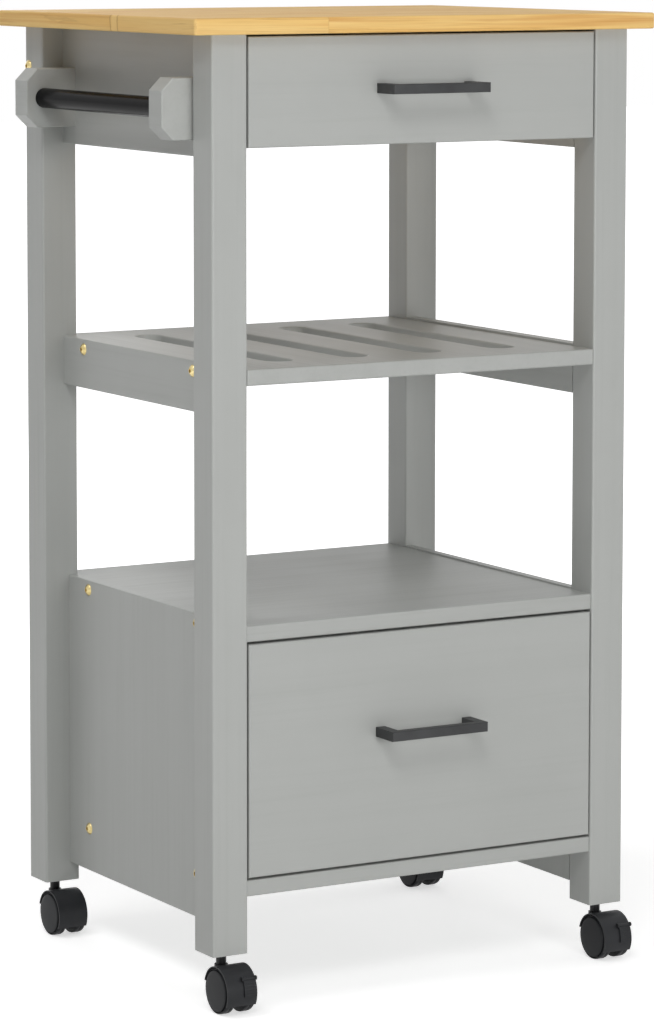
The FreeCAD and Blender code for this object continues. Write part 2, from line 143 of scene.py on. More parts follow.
def finish_nodes(material, *names):
    """Gives one finish to these CAD nodes, in every slot they have."""
    for name in names:
        for slot in nodes[name].material_slots:
            slot.material = material


STAVE_WIDTH = 0.052
STAVE_RUN = 0.36
END_SKIN = 0.0021
EDGE_JOINT_Y = -0.030
EDGE_FINER = 1.6
JOINT_WIDTH = 0.0016
JOINT_BAND = 0.007
PINE_PALE = tint(253, 217, 145)
PINE_GOLD = tint(245, 198, 118)
PINE_DEEP = tint(220, 156, 80)
PINE_LINE = tint(172, 112, 54)

top_low, top_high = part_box("worktop")
oiled = Finish("oiled_pine")
across = oiled.add("ShaderNodeSeparateXYZ", {0: oiled.place}).outputs
top_middle_x = (top_low.x + top_high.x) / 2
from_middle = oiled.maths("ABSOLUTE", oiled.maths("SUBTRACT", across[0], top_middle_x))
on_end = oiled.maths("GREATER_THAN", from_middle, (top_high.x - top_low.x) / 2 - END_SKIN)
stave = oiled.maths("FLOOR", oiled.maths("DIVIDE", across[1], STAVE_WIDTH))
stave_luck = oiled.add("ShaderNodeTexWhiteNoise", {"W": stave}, noise_dimensions="1D").outputs[0]
run = oiled.maths("ADD", oiled.maths("DIVIDE", across[0], STAVE_RUN), stave_luck)
length = oiled.maths("FLOOR", run)
past_joint = oiled.maths("GREATER_THAN", across[1], EDGE_JOINT_Y)
top_piece = oiled.add("ShaderNodeCombineXYZ", {0: length, 1: stave, 2: 0.0}).outputs[0]
end_piece = oiled.add("ShaderNodeCombineXYZ", {0: 5.0, 1: past_joint, 2: 9.0}).outputs[0]
piece_key = oiled.add("ShaderNodeMix", {0: on_end, 4: top_piece, 5: end_piece},
                      data_type="VECTOR").outputs[1]
luck = oiled.add("ShaderNodeTexWhiteNoise", {"Vector": piece_key}, noise_dimensions="3D")
shifted = oiled.add("ShaderNodeVectorMath", {0: oiled.place, 1: luck.outputs[1]},
                    operation="ADD").outputs[0]


def along_stave(slow, fast):
    """Coordinates stretched along each stave, and along the edge on the two end faces."""
    on_top = oiled.scaled((slow, fast, fast), shifted)
    on_edge = oiled.scaled((fast * EDGE_FINER, slow, fast * EDGE_FINER), shifted)
    return oiled.add("ShaderNodeMix", {0: on_end, 4: on_top, 5: on_edge},
                     data_type="VECTOR").outputs[1]


streaks = oiled.noise(along_stave(2.6, 46.0), detail=5.0, distortion=0.35)
rings = oiled.noise(along_stave(4.0, 150.0), detail=3.0, distortion=0.6)
fibres = oiled.noise(along_stave(16.0, 900.0), detail=3.0)
ring_lines = oiled.maths("PINGPONG", oiled.maths("MULTIPLY", streaks, 9.0), 1.0)
warm = oiled.mixed(oiled.span(streaks, 0.36, 0.66), PINE_PALE, PINE_GOLD)
warm = oiled.mixed(oiled.span(rings, 0.50, 0.74, 0.0, 0.75), warm, PINE_DEEP)
warm = oiled.mixed(oiled.span(ring_lines, 0.80, 1.0, 0.0, 0.30), warm, PINE_LINE)
warm = oiled.mixed(oiled.span(fibres, 0.45, 0.75, 0.0, 0.16), warm, PINE_LINE)
toned = oiled.mixed(oiled.span(luck.outputs[0], 0.0, 1.0, 0.0, 0.16), warm, PINE_DEEP)
toned = oiled.mixed(oiled.maths("MULTIPLY", on_end, 0.20), toned, PINE_PALE)
wavy = oiled.maths("MULTIPLY", oiled.noise(oiled.scaled((60.0, 20.0, 60.0))), JOINT_BAND)
wavy_y = oiled.maths("ADD", across[1], wavy)
to_joint = oiled.maths("ABSOLUTE", oiled.maths("SUBTRACT", wavy_y, EDGE_JOINT_Y))
in_band = oiled.maths("MULTIPLY", on_end, oiled.maths("LESS_THAN", to_joint, JOINT_BAND))
toned = oiled.mixed(oiled.maths("MULTIPLY", in_band, 0.45), toned, PINE_PALE)
off_line = oiled.maths("ABSOLUTE", oiled.maths("SUBTRACT", to_joint, JOINT_BAND))
band_line = oiled.maths("MULTIPLY", on_end, oiled.span(off_line, 0.0, JOINT_WIDTH, 1.0, 0.0))
in_run = oiled.maths("MULTIPLY", oiled.maths("PINGPONG", run, 0.5), STAVE_RUN)
in_stave = oiled.maths("PINGPONG", across[1], STAVE_WIDTH / 2)
at_glue = oiled.maths("LESS_THAN", oiled.maths("MINIMUM", in_run, in_stave), JOINT_WIDTH / 4)
on_face = oiled.maths("SUBTRACT", 1.0, on_end)
glue_line = oiled.maths("MULTIPLY", oiled.maths("MULTIPLY", at_glue, on_face), 0.25)
seam = oiled.maths("MAXIMUM", band_line, glue_line)
toned = oiled.mixed(oiled.maths("MULTIPLY", seam, 0.6), toned, PINE_LINE)
oiled.wire(
    Base_Color=toned,
    Roughness=oiled.span(fibres, 0.3, 0.7, 0.44, 0.58),
    Normal=oiled.raised(fibres, 0.00008, oiled.raised(rings, 0.00012)),
    Specular_IOR_Level=0.12,
)
finish_nodes(oiled.material, "worktop")


# ---------------------------------------------------------------- Posts
# Four square pine legs that run from the casters to the worktop. Every rail is dowelled into
# them. They are sanded and sprayed with satin grey paint, through which the grain still shows
# as faint lines along the leg.

PAINT = tint(177, 179, 176)
PAINT_LOW = tint(166, 168, 164)
PAINT_HIGH = tint(184, 186, 183)
GRAIN_SLOW = 5.0
GRAIN_FAST = 210.0
CORNERS = ("front_left", "front_right", "back_left", "back_right")


def painted_wood(name, grain, show=1.0):
    """Satin grey paint on pine with its grain along x, y or z. show is how much of it is seen."""
    paint = Finish(name)
    stretch = [GRAIN_FAST] * 3
    stretch["xyz".index(grain)] = GRAIN_SLOW
    grain_lines = paint.noise(paint.scaled(stretch), detail=5.0, roughness=0.62, distortion=0.25)
    bands = paint.noise(paint.scaled([s * 0.22 for s in stretch]), detail=2.0)
    cloud = paint.noise(paint.scaled((9.0, 9.0, 9.0)), detail=2.0)
    spray = paint.noise(paint.scaled((1600.0, 1600.0, 1600.0)), detail=2.0)
    colour = paint.mixed(paint.span(cloud, 0.3, 0.7, 0.0, 0.35), PAINT, PAINT_HIGH)
    colour = paint.mixed(paint.span(bands, 0.42, 0.72, 0.0, 0.45 * show), colour, PAINT_LOW)
    colour = paint.mixed(paint.span(grain_lines, 0.52, 0.78, 0.0, 0.75 * show), colour, PAINT_LOW)
    bump = paint.raised(grain_lines, 0.00010 * show, paint.raised(spray, 0.000018))
    rough = paint.maths("ADD", paint.span(cloud, 0.3, 0.7, 0.40, 0.47),
                        paint.span(grain_lines, 0.4, 0.8, 0.0, 0.08))
    return paint.wire(Base_Color=colour, Roughness=rough, Normal=bump)


grey_upright = painted_wood("grey_paint_upright", "z", 0.35)
finish_nodes(grey_upright, *["post_" + corner for corner in CORNERS])


# ---------------------------------------------------------------- Aprons, rails and side panels
# The boards that join the posts at the left and right, and the apron across the back. Each is
# planed pine with an eased outer edge, dowelled end to end, and painted with the posts.

grey_deep = painted_wood("grey_paint_front_to_back", "y", 0.6)
grey_wide = painted_wood("grey_paint_side_to_side", "x", 0.8)
finish_nodes(grey_deep, "apron_left", "apron_right", "shelf_rail_left", "shelf_rail_right")
finish_nodes(grey_upright, "cabinet_side_left", "cabinet_side_right")
finish_nodes(grey_wide, "apron_back")


# ---------------------------------------------------------------- Slotted shelf
# A pine board with four round-ended slots routed from front to back, so that damp things drain
# and dry. It is screwed to the two shelf rails from outside. Every edge, the slots' rims too,
# is rounded over before it is painted.

class Shape(Recipe):
    """A geometry rule with named sizes, built once and then run to give plain meshes."""

    def __init__(self, name, **sizes):
        super().__init__(bpy.data.node_groups.new(name, "GeometryNodeTree"))
        sides = self.tree.interface
        sides.new_socket("Geometry", in_out="INPUT", socket_type="NodeSocketGeometry")
        for size, kind in sizes.items():
            sides.new_socket(size, in_out="INPUT", socket_type="NodeSocket" + kind)
        sides.new_socket("Geometry", in_out="OUTPUT", socket_type="NodeSocketGeometry")
        self.given = self.add("NodeGroupInput").outputs

    def maths(self, operation, *values):
        return self.add("ShaderNodeMath", dict(enumerate(values)), operation=operation).outputs[0]

    def attribute(self, name, kind):
        node = self.add("GeometryNodeInputNamedAttribute", {"Name": name}, data_type=kind)
        return next(out for out in node.outputs if out.enabled and out.name == "Attribute")

    def joined(self, *parts):
        join = self.add("GeometryNodeJoinGeometry")
        for part in parts:
            self.tree.links.new(part, join.inputs[0])
        return join.outputs[0]

    def ends_in(self, geometry, material):
        real = self.add("GeometryNodeRealizeInstances", {0: geometry}).outputs[0]
        done = self.add("GeometryNodeSetMaterial",
                        {"Geometry": real, "Material": material}).outputs[0]
        self.add("NodeGroupOutput", {0: done})

    def run(self, name, mesh=None, **sizes):
        piece = bpy.data.objects.new(name, mesh or bpy.data.meshes.new(name))
        bpy.context.scene.collection.objects.link(piece)
        rule = piece.modifiers.new("Rule", "NODES")
        rule.node_group = self.tree
        for item in self.tree.interface.items_tree:
            if item.in_out == "INPUT" and item.name in sizes:
                rule[item.identifier] = sizes[item.name]
        bpy.context.view_layer.update()
        shaped = piece.evaluated_get(bpy.context.evaluated_depsgraph_get())
        plain = bpy.data.meshes.new_from_object(shaped)
        piece.modifiers.clear()
        piece.data = plain
        plain.name = name
        return piece


def rounded_over(piece, radius, segments=3):
    """Rounds every sharp edge of a finished piece with a small bevel."""
    bevel = piece.modifiers.new("Rounded edges", "BEVEL")
    bevel.width = radius
    bevel.segments = segments
    bevel.limit_method = "ANGLE"
    bevel.angle_limit = math.radians(35)
    bevel.harden_normals = False
    for polygon in piece.data.polygons:
        polygon.use_smooth = False
    return piece


SLOT_WIDTH = 0.028
SLOT_LENGTH = 0.280
SLOT_END_STEPS = 14
SHELF_EDGE = 0.0016

slotted = Shape("Slotted board", Width="Float", Depth="Float", Thickness="Float", Slots="Int",
                Pitch="Float", Slot_Width="Float", Slot_Length="Float", Middle="Vector")
board = slotted.add("GeometryNodeCurvePrimitiveQuadrilateral",
                    {"Width": slotted.given["Width"], "Height": slotted.given["Depth"]}).outputs[0]
slot_size = {"Width": slotted.given["Slot_Width"], "Height": slotted.given["Slot_Length"]}
slot_box = slotted.add("GeometryNodeCurvePrimitiveQuadrilateral", slot_size).outputs[0]
slot_radius = slotted.maths("MULTIPLY", slotted.given["Slot_Width"], 0.4999)
slot_ends = {"Curve": slot_box, "Count": SLOT_END_STEPS, "Radius": slot_radius}
slot_line = slotted.add("GeometryNodeFilletCurve", slot_ends, mode="POLY").outputs[0]
gaps = slotted.maths("SUBTRACT", slotted.given["Slots"], 1.0)
first_x = slotted.maths("MULTIPLY", slotted.maths("MULTIPLY", slotted.given["Pitch"], gaps), -0.5)
first = slotted.add("ShaderNodeCombineXYZ", {0: first_x}).outputs[0]
step = slotted.add("ShaderNodeCombineXYZ", {0: slotted.given["Pitch"]}).outputs[0]
row_of = {"Count": slotted.given["Slots"], "Start Location": first, "Offset": step}
row = slotted.add("GeometryNodeMeshLine", row_of).outputs[0]
slots = slotted.add("GeometryNodeInstanceOnPoints", {"Points": row, "Instance": slot_line})
slots = slotted.add("GeometryNodeRealizeInstances", {0: slots.outputs[0]}).outputs[0]
outline = slotted.joined(board, slots)
face = slotted.add("GeometryNodeFillCurve", {"Curve": outline}, mode="NGONS").outputs[0]
raising = {"Mesh": face, "Offset Scale": slotted.given["Thickness"], "Individual": False}
raised = slotted.add("GeometryNodeExtrudeMesh", raising).outputs[0]
under = slotted.add("GeometryNodeFlipFaces", {"Mesh": face}).outputs[0]
whole = slotted.add("GeometryNodeMergeByDistance",
                    {"Geometry": slotted.joined(raised, under), "Distance": 0.00001}).outputs[0]
placed = slotted.add("GeometryNodeTransform",
                     {"Geometry": whole, "Translation": slotted.given["Middle"]}).outputs[0]
slotted.ends_in(placed, grey_deep)

slot_rooms = [o["box_m"] for o in record["physics"]["openings"] if o["name"].startswith("shelf_slot")]
slot_middles = sorted((room[0][0] + room[1][0]) / 2 for room in slot_rooms)
shelf_low, shelf_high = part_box("slotted_shelf")
shelf = slotted.run(
    "slotted_shelf_board",
    Width=shelf_high.x - shelf_low.x,
    Depth=shelf_high.y - shelf_low.y,
    Thickness=shelf_high.z - shelf_low.z,
    Slots=len(slot_middles),
    Pitch=(slot_middles[-1] - slot_middles[0]) / (len(slot_middles) - 1),
    Slot_Width=SLOT_WIDTH,
    Slot_Length=SLOT_LENGTH,
    Middle=((shelf_low.x + shelf_high.x) / 2, (shelf_low.y + shelf_high.y) / 2, shelf_low.z),
)
rounded_over(shelf, SHELF_EDGE)
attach(shelf, "root")
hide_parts("slotted_shelf")


# ---------------------------------------------------------------- Cabinet boards
# The cabinet's top and floor are solid pine boards screwed between the side panels. Their
# front edges show in front of the drawer. A thin painted panel closes the back.

finish_nodes(grey_wide, "cabinet_top", "cabinet_floor", "cabinet_back")


# ---------------------------------------------------------------- Towel rail
# Two blocks of pine with cut corners, screwed to the left apron from inside and painted with
# the frame. They hold a steel tube with a black satin coating, which is pushed into a blind
# hole in each block.

finish_nodes(grey_deep, "towel_bracket_front", "towel_bracket_back")

COATING = tint(11, 11, 12)
COATING_HIGH = tint(19, 19, 20)


def black_coating(name, low, high, smooth, rough, grit, shine):
    """A black coating with fine grit in it, soft clouds of sheen, and a paler tone on the grit."""
    coat = Finish(name)
    clouds = coat.noise(coat.scaled((30.0, 30.0, 30.0)), detail=3.0)
    specks = coat.noise(coat.scaled((2600.0, 2600.0, 2600.0)), detail=2.0)
    colour = coat.mixed(coat.span(clouds, 0.3, 0.75, 0.0, 0.6), low, high)
    colour = coat.mixed(coat.span(specks, 0.55, 0.8, 0.0, 0.35), colour, high)
    sheen = coat.maths("ADD", coat.span(clouds, 0.3, 0.7, smooth, rough),
                       coat.span(specks, 0.4, 0.7, 0.0, 0.05))
    return coat.wire(Base_Color=colour, Roughness=sheen, Normal=coat.raised(specks, grit),
                     Specular_IOR_Level=shine)


satin_black = black_coating("black_coated_tube", COATING, COATING_HIGH, 0.20, 0.25, 0.000006, 0.04)
finish_nodes(satin_black, "towel_rod")


# ---------------------------------------------------------------- Drawers
# Each drawer is a solid painted front on a box of bare pine, with a plywood bottom in grooves.
# The top one slides on pine runners, the lower one on the cabinet's floor, and a block under
# the board above stops each from coming out.

grey_front = painted_wood("grey_paint_drawer_fronts", "x", 0.3)
finish_nodes(grey_front, "top_drawer_front", "lower_drawer_front")

BARE_PALE = tint(233, 207, 165)
BARE_DEEP = tint(205, 168, 117)
BARE_LINE = tint(178, 136, 86)


def bare_pine(name, grain):
    """Planed pine with no finish: pale, matt, with brown rings and fine fibres along one axis."""
    wood = Finish(name)

    def stretched(slow, fast):
        scale = [fast] * 3
        scale["xyz".index(grain)] = slow
        return wood.scaled(scale)

    ring = wood.noise(stretched(2.0, 60.0), detail=4.0, distortion=0.5)
    lines = wood.maths("PINGPONG", wood.maths("MULTIPLY", ring, 12.0), 1.0)
    fibre = wood.noise(stretched(14.0, 800.0), detail=3.0)
    colour = wood.mixed(wood.span(ring, 0.35, 0.7), BARE_PALE, BARE_DEEP)
    colour = wood.mixed(wood.span(lines, 0.70, 1.0, 0.0, 0.40), colour, BARE_LINE)
    colour = wood.mixed(wood.span(fibre, 0.5, 0.8, 0.0, 0.25), colour, BARE_LINE)
    return wood.wire(Base_Color=colour, Roughness=wood.span(fibre, 0.3, 0.7, 0.58, 0.74),
                     Normal=wood.raised(fibre, 0.00010))


pine_deep = bare_pine("bare_pine_front_to_back", "y")
pine_wide = bare_pine("bare_pine_side_to_side", "x")
finish_nodes(pine_deep, "drawer_runners")
finish_nodes(pine_wide, "drawer_stops")
for drawer in ("top_drawer", "lower_drawer"):
    finish_nodes(pine_deep, drawer + "_side_left", drawer + "_side_right")
    finish_nodes(pine_wide, drawer + "_back")

PLY_LAYER = 0.0013
ply = Finish("plywood")
ply_fibre = ply.noise(ply.scaled((700.0, 9.0, 700.0)), detail=4.0, roughness=0.6)
ply_figure = ply.noise(ply.scaled((26.0, 2.2, 26.0)), detail=4.0, distortion=1.2)
ply_height = ply.add("ShaderNodeSeparateXYZ", {0: ply.place}).outputs[2]
ply_layers = ply.maths("PINGPONG", ply_height, PLY_LAYER)
ply_colour = ply.mixed(ply.span(ply_figure, 0.35, 0.65), tint(226, 198, 152), tint(206, 170, 120))
ply_colour = ply.mixed(ply.span(ply_fibre, 0.5, 0.8, 0.0, 0.4), ply_colour, tint(168, 126, 80))
ply_colour = ply.mixed(ply.span(ply_layers, 0.0, PLY_LAYER, 0.0, 0.15), ply_colour, tint(150, 108, 66))
ply.wire(Base_Color=ply_colour, Roughness=ply.span(ply_fibre, 0.3, 0.7, 0.60, 0.75),
         Normal=ply.raised(ply_fibre, 0.00008))
finish_nodes(ply.material, "top_drawer_bottom", "lower_drawer_bottom")


# ---------------------------------------------------------------- Pulls
# A square bar on two square legs, cast in one piece of zinc alloy and powder coated matt black.
# Two machine screws through the drawer front hold each one.

powder_black = black_coating("black_powder_coat", tint(44, 45, 46), tint(74, 75, 76),
                             0.42, 0.52, 0.00003, 0.35)
finish_nodes(powder_black, "top_drawer_pull", "lower_drawer_pull")


# ---------------------------------------------------------------- Brass screws
# Sixteen brass-plated screws with low domed heads and a hexagon socket. They join the shelf and
# the cabinet's boards to the rails and panels, and the back posts to the back apron.

def turned(rings, steps, name, material):
    """A closed round piece about z. rings are (radius, height, corners), from pole to pole.
    With corners, a ring is a polygon with that many sides, for a driver's socket."""
    mesh = bmesh.new()
    loops = []
    for radius, height, corners in rings:
        if radius == 0:
            loops.append([mesh.verts.new((0, 0, height))])
            continue
        loop = []
        for i in range(steps):
            angle = 2 * math.pi * i / steps
            reach = radius
            if corners:
                part = 2 * math.pi / corners
                reach = radius * math.cos(part / 2) / math.cos((angle + part / 2) % part - part / 2)
            loop.append(mesh.verts.new((reach * math.cos(angle), reach * math.sin(angle), height)))
        loops.append(loop)
    for below, above in zip(loops, loops[1:]):
        for i in range(steps):
            corners_of_face = [below[i % len(below)], below[(i + 1) % len(below)],
                               above[(i + 1) % len(above)], above[i % len(above)]]
            mesh.faces.new(list(dict.fromkeys(corners_of_face)))
    bmesh.ops.recalc_face_normals(mesh, faces=mesh.faces)
    data = bpy.data.meshes.new(name)
    mesh.to_mesh(data)
    mesh.free()
    data.materials.append(material)
    return bpy.data.objects.new(name, data)


def dome(radius, height, steps):
    """(radius, height) pairs of a low dome, from its rim up."""
    ball = (radius ** 2 + height ** 2) / (2 * height)
    half = math.asin(radius / ball)
    angles = [half * (1 - i / steps) for i in range(steps)]
    return [(ball * math.sin(a), height - ball * (1 - math.cos(a))) for a in angles]


HEAD_RADIUS = 0.00575
HEAD_HEIGHT = 0.0032
SOCKET_RADIUS = 0.00200
SOCKET_DEPTH = 0.0020
BRASS_SHANK = 0.0050
MM = 0.001

brass = Finish("brass_plate")
brass_cloud = brass.noise(brass.scaled((160.0, 160.0, 160.0)), detail=3.0)
brass_scratch = brass.noise(brass.scaled((900.0, 3800.0, 900.0)), detail=2.0)
brass_colour = brass.mixed(brass.span(brass_cloud, 0.35, 0.7),
                           tint(216, 199, 146), tint(190, 170, 114))
brass.wire(Base_Color=brass_colour, Metallic=1.0,
           Roughness=brass.span(brass_cloud, 0.3, 0.7, 0.24, 0.38),
           Normal=brass.raised(brass_scratch, 0.000004))

head_dome = dome(HEAD_RADIUS, HEAD_HEIGHT, 7)
dome_rings = [(0, -0.3 * MM, 0), (HEAD_RADIUS - 0.2 * MM, -0.3 * MM, 0), (HEAD_RADIUS, 0.05 * MM, 0)]
dome_rings += [(r, z, 0) for r, z in head_dome[1:] if r > SOCKET_RADIUS + 0.5 * MM]
rim_height = HEAD_HEIGHT - 0.25 * MM
dome_rings += [(SOCKET_RADIUS + 0.25 * MM, rim_height, 6), (SOCKET_RADIUS, rim_height - 0.2 * MM, 6)]
socket_floor = rim_height - SOCKET_DEPTH
dome_rings += [(SOCKET_RADIUS, socket_floor, 6), (0, socket_floor - 0.5 * MM, 0)]
brass_head = turned(dome_rings, 36, "brass_screw_head", brass.material)

fixed = Shape("Screws set in place", Head="Object", Shank="Float", Finish="Material")
facing = fixed.attribute("facing", "FLOAT_VECTOR")
reach = fixed.attribute("reach", "FLOAT")
turn = fixed.add("FunctionNodeAlignRotationToVector", {"Vector": facing}, axis="Z").outputs[0]
head = fixed.add("GeometryNodeObjectInfo", {"Object": fixed.given["Head"]}).outputs["Geometry"]
head_place = {"Points": fixed.given["Geometry"], "Instance": head, "Rotation": turn}
heads = fixed.add("GeometryNodeInstanceOnPoints", head_place).outputs[0]
pin = fixed.add("GeometryNodeMeshCylinder", {"Vertices": 20, "Radius": 0.5, "Depth": 1.0}).outputs[0]
pin = fixed.add("GeometryNodeTransform", {"Geometry": pin, "Translation": (0, 0, -0.5)}).outputs[0]
pin_size = fixed.add("ShaderNodeCombineXYZ",
                     {0: fixed.given["Shank"], 1: fixed.given["Shank"], 2: reach}).outputs[0]
pin_place = {"Points": fixed.given["Geometry"], "Instance": pin, "Rotation": turn,
             "Scale": pin_size}
pins = fixed.add("GeometryNodeInstanceOnPoints", pin_place).outputs[0]
fixed.ends_in(fixed.joined(heads, pins), fixed.given["Finish"])


def set_screws(name, places, head, shank, material, body, node):
    """Sets a screw at each (point, outward direction, length under the head), on one body."""
    points = bpy.data.meshes.new(name)
    points.from_pydata([point for point, out, deep in places], [], [])
    points.attributes.new("facing", "FLOAT_VECTOR", "POINT").data.foreach_set(
        "vector", [c for point, out, deep in places for c in out])
    points.attributes.new("reach", "FLOAT", "POINT").data.foreach_set(
        "value", [deep for point, out, deep in places])
    bpy.context.scene.collection.objects.link(head)
    screws = fixed.run(name, points, Head=head, Shank=shank, Finish=material)
    bpy.context.scene.collection.objects.unlink(head)
    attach(screws, body)
    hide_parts(node)
    return screws


def middle(node):
    low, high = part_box(node)
    return (low + high) / 2


SCREW_FROM_POST = 0.042
BOLT_DROP = 0.0385
BOLT_PITCH = 0.040
RAIL_SCREW = 0.044
PANEL_SCREW = 0.040
POST_BOLT = 0.061

brass_places = []
for side, way in (("left", -1), ("right", 1)):
    def outer_face(node):
        low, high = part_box(node)
        return high.x if way > 0 else low.x

    front_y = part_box("post_front_" + side)[1].y + SCREW_FROM_POST
    back_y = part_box("post_back_" + side)[0].y - SCREW_FROM_POST
    rail_x, panel_x, post_x = map(outer_face, ("shelf_rail_" + side, "cabinet_side_" + side,
                                               "post_back_" + side))
    out = (way, 0, 0)
    for y in (front_y, back_y):
        brass_places.append(((rail_x, y, middle("slotted_shelf").z), out, RAIL_SCREW))
        for cabinet_board in ("cabinet_top", "cabinet_floor"):
            brass_places.append(((panel_x, y, middle(cabinet_board).z), out, PANEL_SCREW))
    for i in range(2):
        bolt_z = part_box("apron_back")[1].z - BOLT_DROP - i * BOLT_PITCH
        brass_places.append(((post_x, middle("apron_back").y, bolt_z), out, POST_BOLT))
set_screws("brass_dome_screws", brass_places, brass_head, BRASS_SHANK, brass.material,
           "root", "brass_screws")


# ---------------------------------------------------------------- Hidden screws and dowels
# Zinc-plated countersunk screws hold the towel blocks and the drawer runners from inside, and
# pan-headed machine screws hold the pulls. Fluted beech dowels, glued in, join rails to posts.

zinc = Finish("zinc_plate")
zinc_cloud = zinc.noise(zinc.scaled((240.0, 240.0, 240.0)), detail=3.0)
zinc_scratch = zinc.noise(zinc.scaled((4200.0, 700.0, 700.0)), detail=2.0)
zinc_colour = zinc.mixed(zinc.span(zinc_cloud, 0.35, 0.7), tint(206, 208, 210), tint(178, 180, 178))
zinc.wire(Base_Color=zinc_colour, Metallic=1.0, Roughness=zinc.span(zinc_cloud, 0.3, 0.7, 0.28, 0.42),
          Normal=zinc.raised(zinc_scratch, 0.000004))

SUNK_RADIUS = 0.0040
SUNK_DEPTH = 0.0020
SUNK_SHANK = 0.0040
sunk_rings = [(0, -SUNK_DEPTH, 0), (SUNK_SHANK / 2, -SUNK_DEPTH, 0), (SUNK_RADIUS, -0.1 * MM, 0),
              (SUNK_RADIUS - 0.1 * MM, 0, 0), (1.5 * MM, 0, 4), (1.3 * MM, -1.6 * MM, 4),
              (0, -1.8 * MM, 0)]
sunk_head = turned(sunk_rings, 32, "countersunk_head", zinc.material)
BLOCK_PITCH = 0.032
BLOCK_SCREW = 0.036
RUNNER_PITCH = 0.120
RUNNER_SCREW = 0.026
apron_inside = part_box("apron_left")[1].x
sunk_places = []
for towel_block in ("towel_bracket_front", "towel_bracket_back"):
    for rise in (-BLOCK_PITCH / 2, BLOCK_PITCH / 2):
        point = (apron_inside, middle(towel_block).y, middle(towel_block).z + rise)
        sunk_places.append((point, (1, 0, 0), BLOCK_SCREW))
runner_low, runner_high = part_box("drawer_runners")
RUNNER_WIDTH = 0.016
cart_middle_y = middle("worktop").y
for x, way in ((runner_low.x + RUNNER_WIDTH, 1), (runner_high.x - RUNNER_WIDTH, -1)):
    for i in (-1, 0, 1):
        point = (x, cart_middle_y + i * RUNNER_PITCH, (runner_low.z + runner_high.z) / 2)
        sunk_places.append((point, (way, 0, 0), RUNNER_SCREW))
set_screws("countersunk_screws", sunk_places, sunk_head, SUNK_SHANK, zinc.material,
           "root", "flat_head_screws")

PAN_RADIUS = 0.0040
PAN_HEIGHT = 0.0022
PULL_CENTRES = 0.093
PULL_SCREW = 0.027
pan_rings = [(0, 0, 0), (PAN_RADIUS - 0.1 * MM, 0, 0), (PAN_RADIUS, 0.2 * MM, 0)]
pan_rings += [(r, z, 0) for r, z in dome(PAN_RADIUS, PAN_HEIGHT, 6)[1:] if r > 1.7 * MM]
pan_rings += [(1.4 * MM, PAN_HEIGHT - 0.25 * MM, 4), (1.1 * MM, 0.7 * MM, 4), (0, 0.6 * MM, 0)]
pan_head = turned(pan_rings, 32, "pan_head", zinc.material)
for drawer in ("top_drawer", "lower_drawer"):
    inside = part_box(drawer + "_front")[1].y
    at = middle(drawer + "_pull")
    places = [((at.x + way * PULL_CENTRES / 2, inside, at.z), (0, 1, 0), PULL_SCREW) for way in (-1, 1)]
    set_screws(drawer + "_pan_screws", places, pan_head, SUNK_SHANK, zinc.material,
               drawer, drawer + "_pull_screws")

beech = Finish("fluted_beech")
beech_fleck = beech.noise(beech.scaled((900.0, 260.0, 900.0)), detail=3.0)
beech_colour = beech.mixed(beech.span(beech_fleck, 0.35, 0.7), tint(222, 188, 148), tint(188, 146, 104))
beech.wire(Base_Color=beech_colour, Roughness=beech.span(beech_fleck, 0.3, 0.7, 0.55, 0.7),
           Normal=beech.raised(beech_fleck, 0.00006))
finish_nodes(beech.material, "wood_dowels")


# ---------------------------------------------------------------- Casters
# Twin-wheel swivel casters of black nylon. A steel stem screws into a threaded socket in the
# foot of each post, and the moulded hood turns on it and carries the axle for two wheels.

black_steel = black_coating("black_oxide_steel", tint(26, 26, 27), tint(44, 44, 46),
                            0.26, 0.36, 0.000008, 0.3)
hood_nylon = black_coating("hood_nylon", tint(36, 37, 39), tint(52, 53, 56),
                           0.36, 0.46, 0.000014, 0.22)
finish_nodes(black_steel, "caster_stems")
finish_nodes(zinc.material, "stem_sockets", *["caster_axle_" + corner for corner in CORNERS])
finish_nodes(hood_nylon, *["caster_hood_" + corner for corner in CORNERS])


# ---------------------------------------------------------------- Wheels
# Each wheel is one nylon moulding: a tread with rounded shoulders, a groove round its side face
# and a plain disc inside it, hollow behind and closed over the axle's end.

